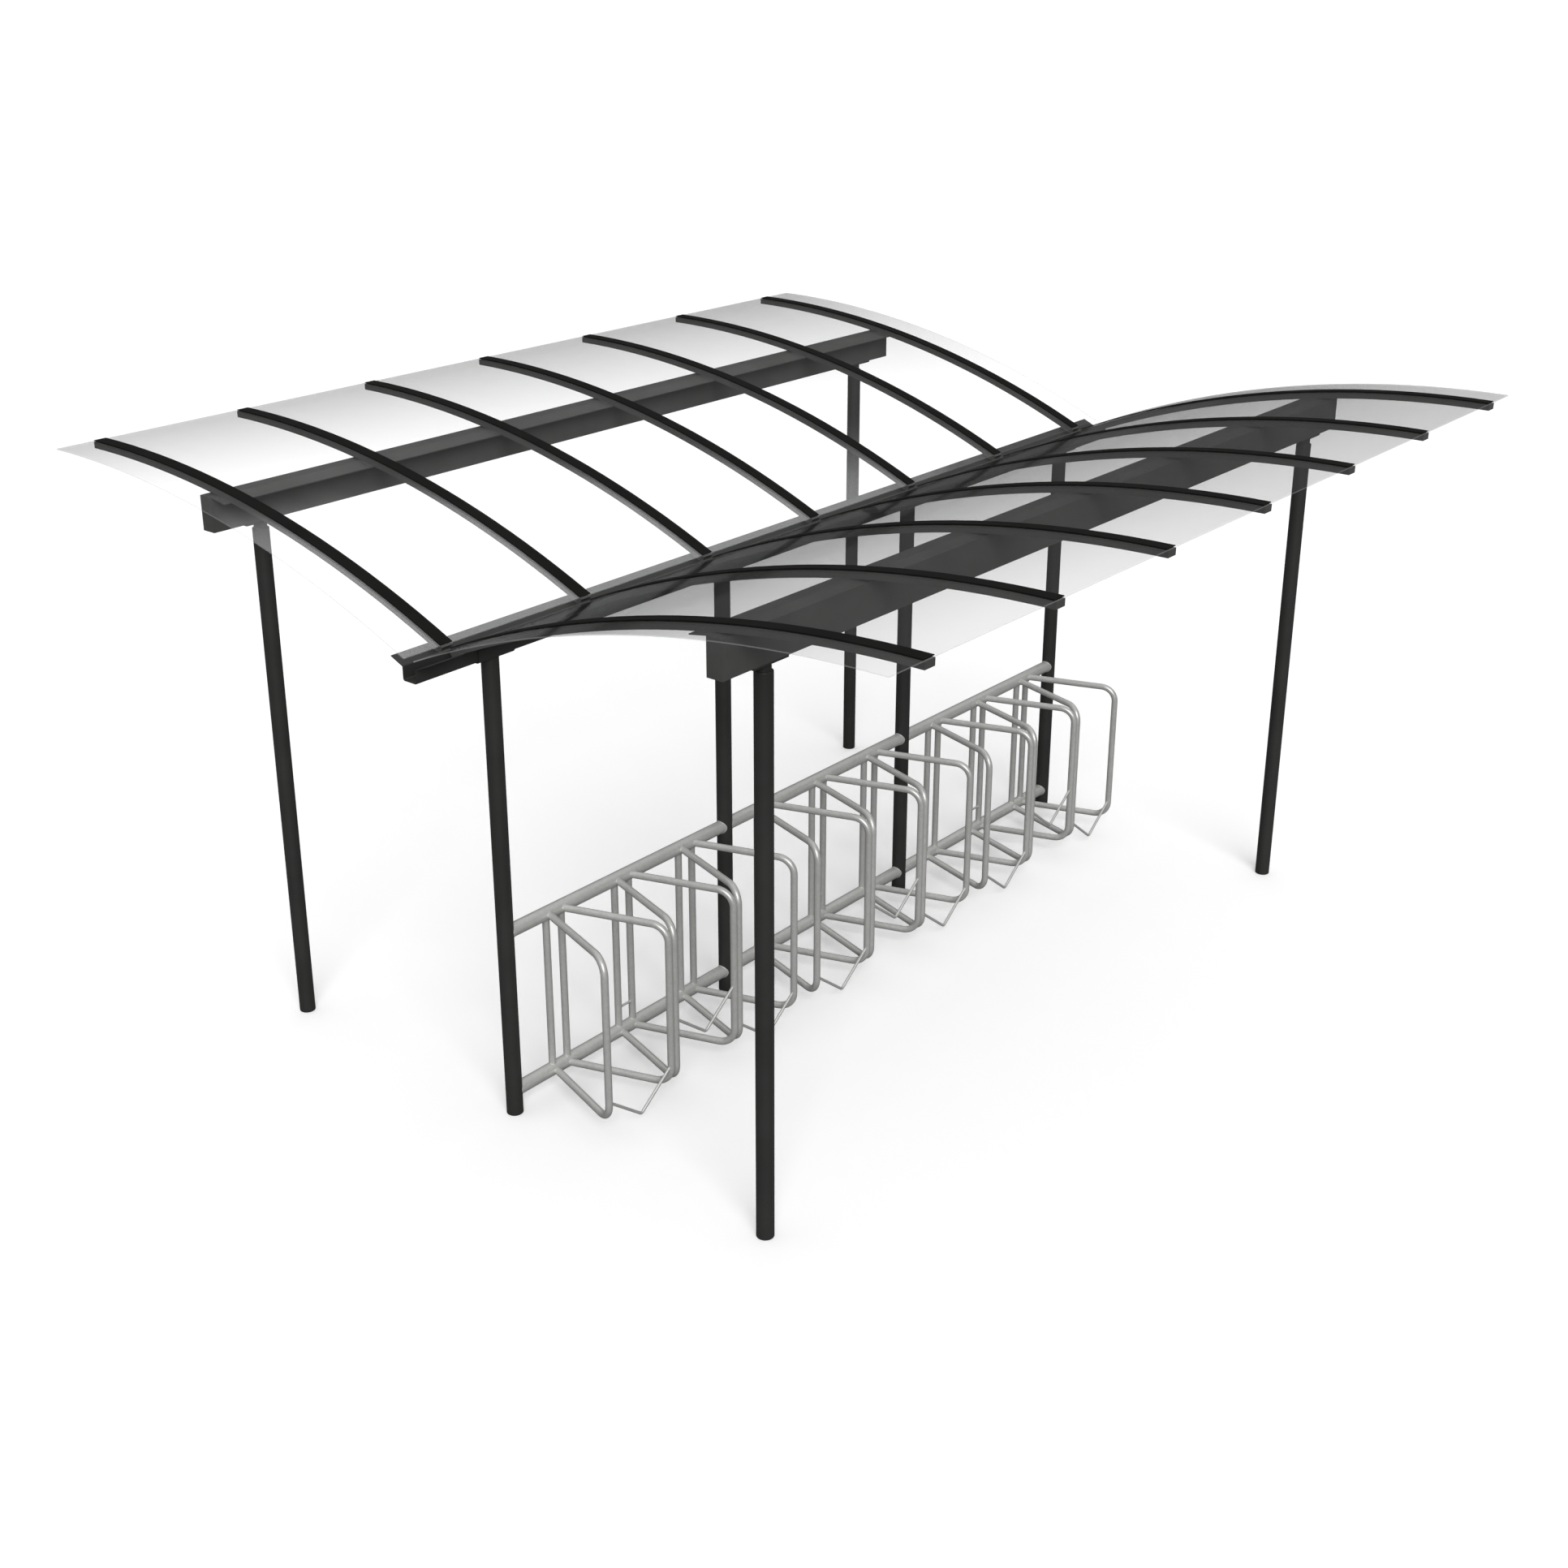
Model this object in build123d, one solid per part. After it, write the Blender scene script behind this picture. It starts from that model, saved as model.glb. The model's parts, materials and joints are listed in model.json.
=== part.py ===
from build123d import *
from math import asin, cos, sin, sqrt
import os

# Open bicycle shelter with a butterfly roof: two curved clear wings fall to a gutter that stands on a
# middle row of posts. Each wing's outer half is carried by a box beam on two posts of its own.
# Bicycle racks are fixed between the middle posts.
# Millimetres. X runs across the two wings, Y along the gutter, Z up. The origin is on the floor,
# midway between the end posts. The right wing is built, and the left wing is its mirror image.

# Layout
post_pitch = 1464.0  # between neighbouring posts of the middle row
middle_posts = 4
outer_row = 1466.0  # from the middle row to the posts under a beam
rib_pitch = 800.0
ribs_per_wing = 7

# Posts: round tube, closed at the floor by a welded disc
post_diameter = 76.1
post_wall = 3.2
foot_thickness = 6.0
foot_rounding = 4.0

# Wing curve: the underside of the clear sheet, level at the crown
wing_radius = 5620.0
crown_x = 2303.0
crown_height = 2765.0

# Ribs: rectangular tube bent to the wing curve
rib_width = 60.0
rib_depth = 30.0
rib_wall = 2.0
rib_reach = 2343.0  # from the middle of the gutter to the outer end
rib_into_gutter = 14.5  # past the inner face of the gutter's wall
rib_end_plate = 3.0

# Clear sheets and the strips that clamp them to the ribs
sheet_thickness = 5.0
sheet_overhang = 225.0  # past the middle of the end rib
sheet_inner_setback = 8.0  # short of the ribs' ends
sheet_outer_setback = 2.0
strip_width = 63.0
strip_thickness = 3.5
strip_inner_setback = 1.0  # short of the sheet's edges
strip_outer_setback = 3.0

# Gutter: folded channel with a sloping flange under the ribs on each side
gutter_width = 81.0
gutter_depth = 64.0
gutter_flange_x = 105.0
gutter_sheet = 4.0
gutter_bend = 6.0  # inside radius of the folds

# Saddles that hold the gutter on the middle posts
saddle_length = 200.0
saddle_height = 57.0
saddle_plate = 5.0

# Beams: box tube with a flange folded down to follow the ribs
beam_width = 76.0
beam_depth = 160.0
beam_wall = 4.0
beam_overhang = 68.0  # past the middle of the end rib
beam_end_plate = 5.0
flange_reach = 86.0
flange_thickness = 5.0

# Heads of the outer posts: plug, shoulder, spigot and plate
head_bore = 50.0
plug_depth = 90.0
plug_play = 0.3
shoulder_height = 12.0
shoulder_rounding = 4.0
spigot_diameter = 60.3
spigot_length = 31.0  # from the shoulder to the plate
head_plate_length = 200.0
head_plate_thickness = 8.0

# Bicycle rack: one unit fills each bay of the middle row
places_per_unit = 3
place_pitch = 440.0
rail_diameter = 63.5
rail_wall = 2.9
rail_low = 112.0
rail_high = 904.5
upright_diameter = 33.7
upright_wall = 2.6
wheel_gap = 60.8  # clear width between the uprights of one place
hoop_diameter = 33.7
hoop_wall = 2.6
hoop_bend = 80.0
hoop_reach = 507.0  # from the rails' axis to the nose's axis
hoop_gap = 1.0  # clear gap between the noses of neighbouring hoops
cradle_diameter = 14.0
cradle_bend = 16.0
cradle_drop = 155.0
cradle_tip_low = 51.0
cradle_tip_high = 273.0
stop_bar_diameter = 12.0
stop_bar_height = 233.0

seat_gap = 0.3  # between a coped end or a saddle and what it is welded to

# Worked out from the sizes above
end_post_y = post_pitch * (middle_posts - 1) / 2
middle_post_y = [post_pitch * i - end_post_y for i in range(middle_posts)]
end_rib_y = rib_pitch * (ribs_per_wing - 1) / 2
rib_y = [rib_pitch * i - end_rib_y for i in range(ribs_per_wing)]
roof_length = 2 * (end_rib_y + sheet_overhang)
beam_length = 2 * (end_rib_y + beam_overhang)
post_bore = post_diameter - 2 * post_wall
rib_underside = wing_radius - rib_depth
curve_centre_z = crown_height - wing_radius
rib_start_x = gutter_width / 2 - gutter_sheet - rib_into_gutter
sheet_start_x = rib_start_x + sheet_inner_setback
sheet_end_x = rib_reach - sheet_outer_setback
strip_start_x = sheet_start_x + strip_inner_setback
strip_end_x = sheet_end_x - strip_outer_setback
upright_half_gap = (wheel_gap + upright_diameter) / 2
nose_half_gap = (place_pitch - hoop_gap - hoop_diameter) / 2
arm_start = rail_diameter / 2 / hoop_reach  # share of an arm that lies inside the rail
root_half_gap = (upright_half_gap - arm_start * nose_half_gap) / (1 - arm_start)


def curve_height(x, radius):
    """Height at x of the circle of this radius about the wing's centre."""
    return curve_centre_z + sqrt(radius**2 - (crown_x - x) ** 2)


def wing_point(x, radius):
    """Point at this radius, on the wing's radial line that crosses the sheet's underside at x."""
    turn = asin((crown_x - x) / wing_radius)
    return (crown_x - radius * sin(turn), curve_centre_z + radius * cos(turn))


def wing_bar(start_x, end_x, inner_radius, outer_radius, width):
    """Bar that follows the wing curve, with radial ends, centred on Y = 0."""
    middle_x = (start_x + end_x) / 2
    inner = [wing_point(x, inner_radius) for x in (start_x, middle_x, end_x)]
    outer = [wing_point(x, outer_radius) for x in (start_x, middle_x, end_x)]
    with BuildPart() as bar:
        with BuildSketch(Plane.XZ):
            with BuildLine():
                ThreePointArc(*inner)
                Line(inner[2], outer[2])
                ThreePointArc(*reversed(outer))
                Line(outer[0], inner[0])
            make_face()
        extrude(amount=width / 2, both=True)
    return bar.part


def tube_between(start, end, diameter, wall):
    """Straight round tube, open at both ends, or a rod where wall is None."""
    axis = Vector(*end) - Vector(*start)
    plane = Plane(origin=start, z_dir=axis)
    tube = plane * extrude(Circle(diameter / 2), axis.length)
    if wall is None:
        return tube
    return tube - plane * extrude(Circle(diameter / 2 - wall), axis.length)


def bent_tube(points, radius, diameter, wall):
    """Round tube along straight runs joined by tangent bends, or a rod where wall is None."""
    path = FilletPolyline(*points, radius=radius)
    plane = Plane(origin=path @ 0, z_dir=path % 0)
    tube = sweep(plane * Circle(diameter / 2), path=path)
    if wall is None:
        return tube
    return tube - sweep(plane * Circle(diameter / 2 - wall), path=path)


def folded_sheet(points, thickness, bend, length):
    """Sheet folded along an open outline in X and Z, thickened outwards and centred on Y = 0."""
    outline = FilletPolyline(*points, radius=bend)
    section = make_face(offset(outline, amount=thickness, side=Side.RIGHT, closed=True).edges())
    return extrude(Plane.XZ * section, amount=length / 2, both=True)


def at(shape, x=0.0, y=0.0, z=0.0):
    """Copy of a shape moved by x, y and z."""
    return Pos(x, y, z) * shape


def across(shape):
    """Mirror image of a piece on the other wing."""
    return mirror(shape, about=Plane.YZ)


def save(node, *pieces):
    """Write one node, from one solid or from several like solids that don't touch."""
    solids = [solid for piece in pieces for solid in piece.solids()]
    shape = solids[0] if len(solids) == 1 else Compound(children=solids)
    shape.label = node
    export_step(shape, f"parts/{node}.step")


# Posts


def make_post(height):
    """Tube from the floor to this height, closed below by a disc with a rounded rim."""
    tube = extrude(Circle(post_diameter / 2), height)
    tube = fillet(tube.edges().group_by(Axis.Z)[0], foot_rounding)
    return tube - at(extrude(Circle(post_bore / 2), height), z=foot_thickness)


def make_post_head(rim):
    """Hollow plug in the post, shoulder on its rim, spigot, and the plate that the beam lies on."""
    shoulder = extrude(Circle(post_diameter / 2), shoulder_height)
    shoulder = fillet(shoulder.edges().group_by(Axis.Z)[-1], shoulder_rounding)
    plug = extrude(Circle(post_bore / 2 - plug_play), plug_depth)
    spigot = extrude(Circle(spigot_diameter / 2), spigot_length)
    plate = extrude(Rectangle(beam_width, head_plate_length), head_plate_thickness)
    bore = extrude(Circle(head_bore / 2), plug_depth + shoulder_height + spigot_length)
    spigot_low = rim + shoulder_height
    head = at(plug, z=rim - plug_depth) + at(shoulder, z=rim) + at(spigot, z=spigot_low)
    head -= at(bore, z=rim - plug_depth)
    return head + at(plate, z=spigot_low + spigot_length)


# Gutter


def gutter_outline():
    """Inner face of the gutter from flange tip to flange tip, and the height of its underside."""
    inner_half = gutter_width / 2 - gutter_sheet
    rim = curve_height(inner_half, rib_underside)
    tip = curve_height(gutter_flange_x, rib_underside)
    underside = curve_height(gutter_width / 2, rib_underside) - gutter_depth
    floor = underside + gutter_sheet
    right = [(inner_half, floor), (inner_half, rim), (gutter_flange_x, tip)]
    left = [(-x, z) for x, z in reversed(right)]
    return left + right, underside


def make_saddle(underside):
    """U-shaped plate wrapped round the gutter's channel."""
    inner_half = gutter_width / 2 + seat_gap
    floor = underside - seat_gap
    rim = floor - saddle_plate + saddle_height
    points = [(-inner_half, rim), (-inner_half, floor), (inner_half, floor), (inner_half, rim)]
    return folded_sheet(points, saddle_plate, gutter_bend + gutter_sheet, saddle_length)


# Wings


def make_rib():
    """Curved rectangular tube, open over the gutter and closed by a plate at its outer end."""
    tube = wing_bar(rib_start_x, rib_reach, rib_underside, wing_radius, rib_width)
    bore = wing_bar(
        rib_start_x - rib_depth,
        rib_reach - rib_end_plate,
        rib_underside + rib_wall,
        wing_radius - rib_wall,
        rib_width - 2 * rib_wall,
    )
    return tube - bore


def make_sheet():
    """Clear sheet of one wing."""
    top = wing_radius + sheet_thickness
    return wing_bar(sheet_start_x, sheet_end_x, wing_radius, top, roof_length)


def make_strip():
    """Flat strip that clamps the sheet to one rib."""
    low = wing_radius + sheet_thickness
    return wing_bar(strip_start_x, strip_end_x, low, low + strip_thickness, strip_width)


# Beams


def beam_top():
    """Height of the beam's flat top, where its inner edge meets the underside of the ribs."""
    return curve_height(outer_row - beam_width / 2, rib_underside)


def make_beam():
    """Box tube of the right wing, open at both ends, with the flange that follows the ribs."""
    top = beam_top()
    inner_edge = outer_row - beam_width / 2
    box = Rectangle(beam_width, beam_depth)
    box -= Rectangle(beam_width - 2 * beam_wall, beam_depth - 2 * beam_wall)
    tip_x = inner_edge - flange_reach
    tip = curve_height(tip_x, rib_underside)
    flange = Polygon(
        (inner_edge, top),
        (tip_x, tip),
        (tip_x, tip - flange_thickness),
        (inner_edge, top - flange_thickness),
        align=None,
    )
    section = Pos(outer_row, top - beam_depth / 2) * box + flange
    return extrude(Plane.XZ * section, amount=beam_length / 2 - beam_end_plate, both=True)


def make_beam_end(side):
    """Plate that closes the beam's end at the far (+1) or near (-1) side."""
    plate = Box(beam_width, beam_end_plate, beam_depth)
    y = side * (beam_length - beam_end_plate) / 2
    return at(plate, outer_row, y, beam_top() - beam_depth / 2)


# Rack: each function builds for a unit centred on Y = 0


def place_offsets():
    """Middle of each wheel place from the middle of its unit."""
    return [place_pitch * (i - (places_per_unit - 1) / 2) for i in range(places_per_unit)]


def is_high(place):
    """Every second place holds its wheel higher, so that handlebars clear each other."""
    return place % 2 == 1


def make_rail(z):
    """Tube between two posts, its ends coped to fit round them."""
    half = post_pitch / 2
    rail = tube_between((0, -half, z), (0, half, z), rail_diameter, rail_wall)
    for side in (-1, 1):
        rail -= at(Cylinder(post_diameter / 2 + seat_gap, 2 * rail_diameter), y=side * half, z=z)
    return rail


def cope_to_rails(shape):
    """Trim a piece back to the surface of both rails."""
    half = post_pitch / 2
    for z in (rail_low, rail_high):
        shape -= tube_between((0, -half, z), (0, half, z), rail_diameter + 2 * seat_gap, None)
    return shape


def make_upright(y, side):
    """Tube from rail to rail on one side of a wheel place."""
    upright_y = y + side * upright_half_gap
    tube = tube_between((0, upright_y, rail_low), (0, upright_y, rail_high), upright_diameter, upright_wall)
    return cope_to_rails(tube)


def make_stop_bar(y):
    """Thin bar between the two uprights of a high place."""
    half = upright_half_gap - upright_diameter / 2 - seat_gap
    ends = [(0, y - half, stop_bar_height), (0, y + half, stop_bar_height)]
    return tube_between(*ends, stop_bar_diameter, None)


def make_hoop(y, side):
    """Bent tube that leaves the top rail, turns down at its nose and comes back to the bottom rail."""
    root_y = y + side * root_half_gap
    nose_y = y + side * nose_half_gap
    points = [
        (0, root_y, rail_high),
        (hoop_reach, nose_y, rail_high),
        (hoop_reach, nose_y, rail_low),
        (0, root_y, rail_low),
    ]
    return cope_to_rails(bent_tube(points, hoop_bend, hoop_diameter, hoop_wall))


def make_cradle(y, tip):
    """Bent rod between the noses of two hoops, coped to them, which holds the wheel's tyre."""
    high = tip + cradle_drop
    near_y = y - nose_half_gap
    far_y = y + nose_half_gap
    rod = bent_tube(
        [(hoop_reach, near_y, high), (hoop_reach, y, tip), (hoop_reach, far_y, high)],
        cradle_bend,
        cradle_diameter,
        None,
    )
    for nose_y in (near_y, far_y):
        low_end = (hoop_reach, nose_y, high - cradle_drop)
        high_end = (hoop_reach, nose_y, high + cradle_drop)
        rod -= tube_between(low_end, high_end, hoop_diameter + 2 * seat_gap, None)
    return rod


def save_rack(unit, unit_y):
    """Write the nodes of one rack unit, and return its stop bars."""
    offsets = place_offsets()
    sides = [(y, side) for y in offsets for side in (-1, 1)]
    tips = [cradle_tip_high if is_high(place) else cradle_tip_low for place in range(places_per_unit)]
    pieces = {
        "rails": [make_rail(z) for z in (rail_low, rail_high)],
        "uprights": [make_upright(y, side) for y, side in sides],
        "hoops": [make_hoop(y, side) for y, side in sides],
        "cradles": [make_cradle(y, tip) for y, tip in zip(offsets, tips)],
    }
    for name, shapes in pieces.items():
        save(f"rack_{name}_{unit}", *[at(shape, y=unit_y) for shape in shapes])
    high_places = [y for place, y in enumerate(offsets) if is_high(place)]
    return [at(make_stop_bar(y), y=unit_y) for y in high_places]


def main():
    os.makedirs("parts", exist_ok=True)

    outline, gutter_underside = gutter_outline()
    saddle = make_saddle(gutter_underside)
    save("gutter", folded_sheet(outline, gutter_sheet, gutter_bend, roof_length))
    save("gutter_saddles", *[at(saddle, y=y) for y in middle_post_y])

    middle_post = make_post(gutter_underside - seat_gap - saddle_plate)
    for number, y in enumerate(middle_post_y, start=1):
        save(f"post_middle_{number}", at(middle_post, y=y))

    rim = beam_top() - beam_depth - head_plate_thickness - spigot_length - shoulder_height
    outer_post = make_post(rim)
    beam = make_beam()
    sheet = make_sheet()
    rib = make_rib()
    strips = [at(make_strip(), y=y) for y in rib_y]
    for wing, place in (("right", lambda shape: shape), ("left", across)):
        for number, y in enumerate((-end_post_y, end_post_y), start=1):
            save(f"post_{wing}_{number}", place(at(outer_post, outer_row, y)))
        save(f"beam_{wing}", place(beam))
        for number, y in enumerate(rib_y, start=1):
            save(f"rib_{wing}_{number}", place(at(rib, y=y)))
        save(f"roof_sheet_{wing}", place(sheet))
        save(f"clamp_strips_{wing}", *[place(strip) for strip in strips])

    head = make_post_head(rim)
    heads = [at(head, outer_row, y) for y in (-end_post_y, end_post_y)]
    save("post_heads", *heads, *[across(piece) for piece in heads])
    beam_ends = [make_beam_end(side) for side in (-1, 1)]
    save("beam_ends", *beam_ends, *[across(piece) for piece in beam_ends])

    stop_bars = []
    for bay in range(middle_posts - 1):
        stop_bars += save_rack(bay + 1, (middle_post_y[bay] + middle_post_y[bay + 1]) / 2)
    save("rack_stop_bars", *stop_bars)


if __name__ == "__main__":
    main()
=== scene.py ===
import json
from math import cos, pi, radians, sin, sqrt, tau

import bpy
from bpy.props import FloatProperty, FloatVectorProperty, PointerProperty
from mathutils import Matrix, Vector


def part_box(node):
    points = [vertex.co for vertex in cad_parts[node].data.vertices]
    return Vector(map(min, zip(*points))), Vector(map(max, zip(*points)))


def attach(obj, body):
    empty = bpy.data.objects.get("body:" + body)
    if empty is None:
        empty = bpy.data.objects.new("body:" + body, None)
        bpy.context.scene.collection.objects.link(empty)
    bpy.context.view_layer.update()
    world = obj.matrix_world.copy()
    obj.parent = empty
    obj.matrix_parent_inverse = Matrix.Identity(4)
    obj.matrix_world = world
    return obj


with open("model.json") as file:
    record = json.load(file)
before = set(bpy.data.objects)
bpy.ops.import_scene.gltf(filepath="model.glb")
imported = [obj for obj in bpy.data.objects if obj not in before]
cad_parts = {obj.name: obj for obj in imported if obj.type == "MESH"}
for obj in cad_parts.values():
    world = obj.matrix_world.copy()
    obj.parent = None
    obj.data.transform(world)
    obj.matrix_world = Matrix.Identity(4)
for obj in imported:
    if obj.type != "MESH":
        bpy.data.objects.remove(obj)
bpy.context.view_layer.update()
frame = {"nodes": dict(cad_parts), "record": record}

# Bicycle shelter with a butterfly roof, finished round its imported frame. Metres. X runs across the
# two wings, Y along the gutter, Z up, and the floor is at Z = 0.

bl_info = {
    "name": "Bicycle Shelter",
    "version": (1, 0, 0),
    "blender": (4, 5, 0),
    "location": "3D View > Sidebar > Shelter",
    "description": "Coats, clear sheets, welds and studio of a butterfly-roof bicycle shelter",
    "category": "Object",
}

BODY = "root"
WINGS = ("left", "right")
BAYS = (1, 2, 3)
NODES = sorted(frame["nodes"])
POST_NODES = [name for name in NODES if name.startswith("post_") and name != "post_heads"]
RIB_NODES = [name for name in NODES if name.startswith("rib_")]
RACK_PARTS = ("rails", "uprights", "hoops", "cradles")


def half_width(node):
    """Half of a frame node's width across the wings."""
    low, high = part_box(node)
    return (high.x - low.x) / 2


def middle_along(node):
    """Middle of a frame node along the gutter."""
    low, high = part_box(node)
    return (low.y + high.y) / 2


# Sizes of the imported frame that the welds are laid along
POST_RADIUS = half_width("post_middle_1")
RAIL_RADIUS = half_width("rack_rails_1")
UPRIGHT_RADIUS = half_width("rack_uprights_1")
ROD_RADIUS = half_width("rack_cradles_1")
BAR_RADIUS = half_width("rack_stop_bars")
RAILS_LOW, RAILS_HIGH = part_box("rack_rails_1")
RAIL_HEIGHTS = (RAILS_LOW.z + RAIL_RADIUS, RAILS_HIGH.z - RAIL_RADIUS)
HOOP_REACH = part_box("rack_cradles_1")[0].x + ROD_RADIUS
HOOP_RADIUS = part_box("rack_hoops_1")[1].x - HOOP_REACH
BAR_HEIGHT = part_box("rack_stop_bars")[0].z + BAR_RADIUS
ROD_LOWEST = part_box("rack_cradles_1")[0].z + ROD_RADIUS
RIB_HALF = (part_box("rib_left_1")[1].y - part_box("rib_left_1")[0].y) / 2
POST_ROW = [middle_along(name) for name in POST_NODES if name.startswith("post_middle")]

# A weld bead's section: its points, and shares of its width: how much a ripple swells it, how high
# it stands, and how thin its open ends are
BEAD_RING = 8
RIPPLE_SWELL = 0.16
BEAD_FLATNESS = 0.8
BEAD_END = 0.55
# How far rib welds stay inside the edges they run to, and how far out a saddle's upper welds sit,
# as a share of their width
EDGE_INSET = 0.004
SADDLE_BEAD_OFFSET = 0.2

# Points along each kind of seam
TUBE_SEAM_STEPS = 72
ROD_SEAM_STEPS = 32
POST_SEAM_STEPS = 120
SPIGOT_SEAM_STEPS = 100
SADDLE_SEAM_STEPS = 160
HEAD_SEAM_STEPS = 80
RIB_SEAM_STEPS = 64


# Shader graphs


class Field:
    """A number that varies over a surface: node sockets joined by ordinary arithmetic."""

    def __init__(self, finish, socket):
        self.finish = finish
        self.socket = socket

    def math(self, operation, *values):
        return self.finish.node("ShaderNodeMath", {"operation": operation}, dict(enumerate(values)))

    def __add__(self, other):
        return self.math("ADD", self, other)

    __radd__ = __add__

    def __sub__(self, other):
        return self.math("SUBTRACT", self, other)

    def __rsub__(self, other):
        return self.math("SUBTRACT", other, self)

    def __mul__(self, other):
        return self.math("MULTIPLY", self, other)

    __rmul__ = __mul__

    def __truediv__(self, other):
        return self.math("DIVIDE", self, other)

    def __rtruediv__(self, other):
        return self.math("DIVIDE", other, self)

    def __abs__(self):
        return self.math("ABSOLUTE", self)

    def largest(self, other):
        return self.math("MAXIMUM", self, other)

    def ramp(self, low, high):
        """0 up to low, 1 from high on, and a smooth rise between them."""
        settings = {"interpolation_type": "SMOOTHSTEP"}
        return self.finish.node("ShaderNodeMapRange", settings, {"Value": self, 1: low, 2: high})


class Finish:
    """One material or world, built by naming the nodes it needs."""

    def __init__(self, holder):
        holder.use_nodes = True
        self.holder = holder
        self.tree = holder.node_tree
        self.tree.nodes.clear()

    def node(self, kind, settings=None, inputs=None, output=0):
        """Add a node of this type, set it up, then fill its sockets by number or name."""
        made = self.tree.nodes.new(kind)
        for name, value in (settings or {}).items():
            setattr(made, name, value)
        for key, value in (inputs or {}).items():
            socket = socket_named(made.inputs, key)
            if isinstance(value, Field):
                self.tree.links.new(value.socket, socket)
            else:
                socket.default_value = value
        return Field(self, socket_named(made.outputs, output))

    def place(self):
        """Position on the surface in metres, in the frame's axes."""
        return self.node("ShaderNodeTexCoord", output="Object")

    def stretched(self, place, x, y, z):
        """Position with each axis scaled, to draw a pattern out along an axis."""
        settings = {"operation": "MULTIPLY"}
        return self.node("ShaderNodeVectorMath", settings, {0: place, 1: (x, y, z)})

    def noise(self, place, scale, detail=2.0, roughness=0.5):
        """Soft noise of this scale, around a half."""
        inputs = {"Vector": place, "Scale": scale, "Detail": detail, "Roughness": roughness}
        return self.node("ShaderNodeTexNoise", inputs=inputs)

    def cells(self, place, scale):
        """A flat random shade for each cell."""
        inputs = {"Vector": place, "Scale": scale}
        colour = self.node("ShaderNodeTexVoronoi", inputs=inputs, output="Color")
        return self.node("ShaderNodeSeparateColor", inputs={"Color": colour})

    def mixed(self, factor, first, second):
        """Colour that goes from first to second as factor goes from 0 to 1."""
        inputs = {"Factor_Float": factor, "A_Color": first, "B_Color": second}
        return self.node("ShaderNodeMix", {"data_type": "RGBA"}, inputs, "Result_Color")

    def bump(self, height, distance):
        """Surface normal disturbed by a height that runs from 0 to 1 over this distance."""
        inputs = {"Height": height, "Distance": distance, "Strength": 1.0}
        return self.node("ShaderNodeBump", inputs=inputs)

    def surface(self, shader):
        """Join the finished shader to the output."""
        kind = "World" if isinstance(self.holder, bpy.types.World) else "Material"
        made = self.tree.nodes.new(f"ShaderNodeOutput{kind}")
        self.tree.links.new(shader.socket, made.inputs["Surface"])


def socket_named(sockets, name):
    """The socket with this number or identifier, or else with this shown name."""
    if isinstance(name, int):
        return sockets[name]
    for socket in sockets:
        if socket.identifier == name:
            return socket
    for socket in sockets:
        if socket.name == name and socket.enabled:
            return socket
    raise KeyError(f"no socket named {name}")


def grey(level):
    """Neutral colour of this level, with full alpha."""
    return (level, level, level, 1.0)


def shades(colour, dark, light):
    """A darker and a lighter shade of a colour."""
    return [(*(part * share for part in colour), 1.0) for share in (dark, light)]


def new_finish(name):
    """Finish on a new material of this name."""
    return Finish(bpy.data.materials.new(name))


def paint(finish, inputs):
    """Close a finish with one Principled shader and return its material."""
    finish.surface(finish.node("ShaderNodeBsdfPrincipled", inputs=inputs))
    return finish.holder


def powder_coat(name, colour, roughness):
    """Charcoal powder coat: fine orange peel and a slight cloud in its colour and gloss."""
    finish = new_finish(name)
    place = finish.place()
    cloud = finish.noise(place, 3.5, 4.0, 0.55)
    grain = finish.noise(place, 900.0, 2.0)
    peel = finish.noise(place, 260.0, 2.0)
    return paint(
        finish,
        {
            "Base Color": finish.mixed(cloud.ramp(0.3, 0.7), *shades(colour, 0.88, 1.1)),
            "Roughness": roughness + (cloud - 0.5) * 0.16 + (grain - 0.5) * 0.06,
            "Normal": finish.bump(peel * 0.7 + grain * 0.3, 0.00012),
            "Specular IOR Level": 0.25,
        },
    )


def strip_coat(colour, roughness):
    """Matt black of the clamp strips, with fine lines drawn along them."""
    finish = new_finish("shelter_black_strip")
    place = finish.place()
    lines = finish.noise(finish.stretched(place, 6.0, 700.0, 6.0), 1.0, 2.0)
    cloud = finish.noise(place, 5.0, 3.0)
    return paint(
        finish,
        {
            "Base Color": finish.mixed(cloud.ramp(0.3, 0.7), *shades(colour, 0.85, 1.15)),
            "Roughness": roughness + (lines - 0.5) * 0.1,
            "Normal": finish.bump(lines, 0.00008),
            "Specular IOR Level": 0.08,
        },
    )


def rack_coat(colour, metallic, roughness):
    """Galvanised steel: soft spangle, faint runs and a dull sheen."""
    finish = new_finish("shelter_rack_steel")
    place = finish.place()
    spangle = finish.cells(place, 95.0)
    cloud = finish.noise(place, 9.0, 4.0, 0.6)
    grain = finish.noise(place, 700.0, 2.0)
    tone = (spangle * 0.35 + cloud * 0.65).ramp(0.15, 0.85)
    return paint(
        finish,
        {
            "Base Color": finish.mixed(tone, *shades(colour, 0.93, 1.05)),
            "Metallic": metallic,
            "Roughness": roughness + (spangle - 0.5) * 0.1 + (cloud - 0.5) * 0.08,
            "Normal": finish.bump(cloud * 0.5 + grain * 0.5, 0.00015),
        },
    )


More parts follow.
